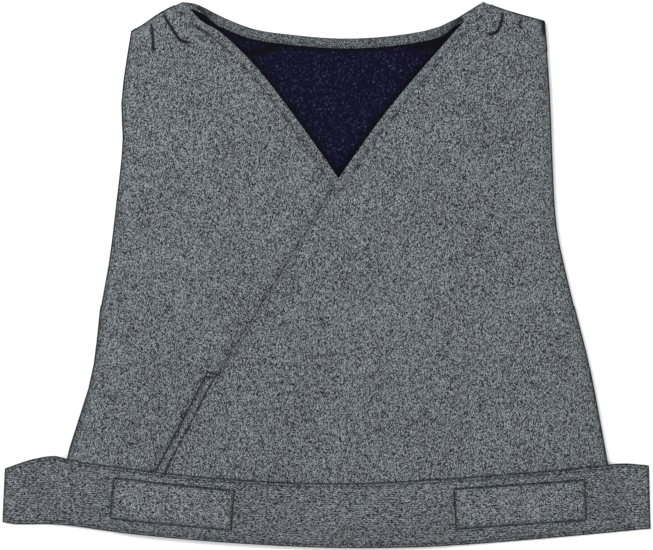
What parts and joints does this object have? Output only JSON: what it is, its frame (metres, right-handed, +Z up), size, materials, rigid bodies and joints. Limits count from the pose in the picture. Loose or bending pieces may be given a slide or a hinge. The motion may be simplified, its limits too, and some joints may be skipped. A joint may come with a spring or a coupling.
{
  "type": "lead apron",
  "caption": "Wrap-front radiation protection vest with V-neck, overlapping lead-vinyl fronts and a wide elastic waist belt, lying flat on its back.",
  "frame": {"origin": "middle of the footprint, on the surface that the apron lies on", "axes": "+X towards the wearer's left, +Y towards the neck, +Z up out of the front of the apron"},
  "size_m": [0.748, 0.6296, 0.0291],
  "materials": {
    "heather_fabric": "matte salt-and-pepper woven polyester",
    "binding_tape": "matte woven binding tape",
    "navy_lining": "soft matte woven nylon",
    "lead_vinyl": "smooth flexible filled vinyl",
    "elastic_webbing": "ribbed elastic webbing",
    "loop_pile": "fuzzy loop pile",
    "hook_tape": "fine hook tape"
  },
  "bodies": {
    "back": {"back_shell": "heather_fabric", "back_lead_outer": "lead_vinyl", "back_lead_inner": "lead_vinyl", "back_lining": "navy_lining", "back_neck_binding": "binding_tape", "back_edge_binding": "binding_tape", "back_neck_facing": "heather_fabric", "right_side_lining": "navy_lining", "right_side_lead_inner": "lead_vinyl", "right_side_lead_outer": "lead_vinyl", "right_side_shell": "heather_fabric", "right_armhole_binding": "binding_tape", "right_side_seam": "binding_tape", "right_shoulder_seam": "binding_tape", "left_side_lining": "navy_lining", "left_side_lead_inner": "lead_vinyl", "left_side_lead_outer": "lead_vinyl", "left_side_shell": "heather_fabric", "left_armhole_binding": "binding_tape", "left_side_seam": "binding_tape", "left_shoulder_seam": "binding_tape", "belt_left_end": "elastic_webbing"},
    "left_front": {"left_front_lining": "navy_lining", "left_front_lead_inner": "lead_vinyl", "left_front_lead_outer": "lead_vinyl", "left_front_shell": "heather_fabric", "left_front_binding": "binding_tape", "closure_hook_strip": "hook_tape", "belt_front": "elastic_webbing", "left_loop_patch": "loop_pile", "right_loop_patch": "loop_pile"},
    "right_front": {"right_front_lining": "navy_lining", "right_front_lead_inner": "lead_vinyl", "right_front_lead_outer": "lead_vinyl", "right_front_shell": "heather_fabric", "right_front_binding": "binding_tape", "closure_loop_strip": "loop_pile"},
    "belt_end": {"belt_right_end": "elastic_webbing", "belt_hook_pad": "hook_tape"}
  },
  "joints": [
    {"name": "left_front_open", "type": "hinge", "parent": "back", "child": "left_front", "pos_m": [0.189, 0.31125, 0.028], "axis": [-0.221, 0.9753, 0], "range_deg": [0, 170]},
    {"name": "right_front_open", "type": "hinge", "parent": "back", "child": "right_front", "pos_m": [-0.174, 0.31025, 0.0168], "axis": [-0.2048, -0.9788, 0], "range_deg": [0, 68]},
    {"name": "belt_end_fold", "type": "hinge", "parent": "left_front", "child": "belt_end", "pos_m": [-0.304, -0.24775, 0.028], "axis": [0, 1, 0], "range_deg": [0, 150]}
  ],
  "couplings": [
    {"joint": "right_front_open", "follows": "left_front_open", "ratio": 0.4}
  ]
}
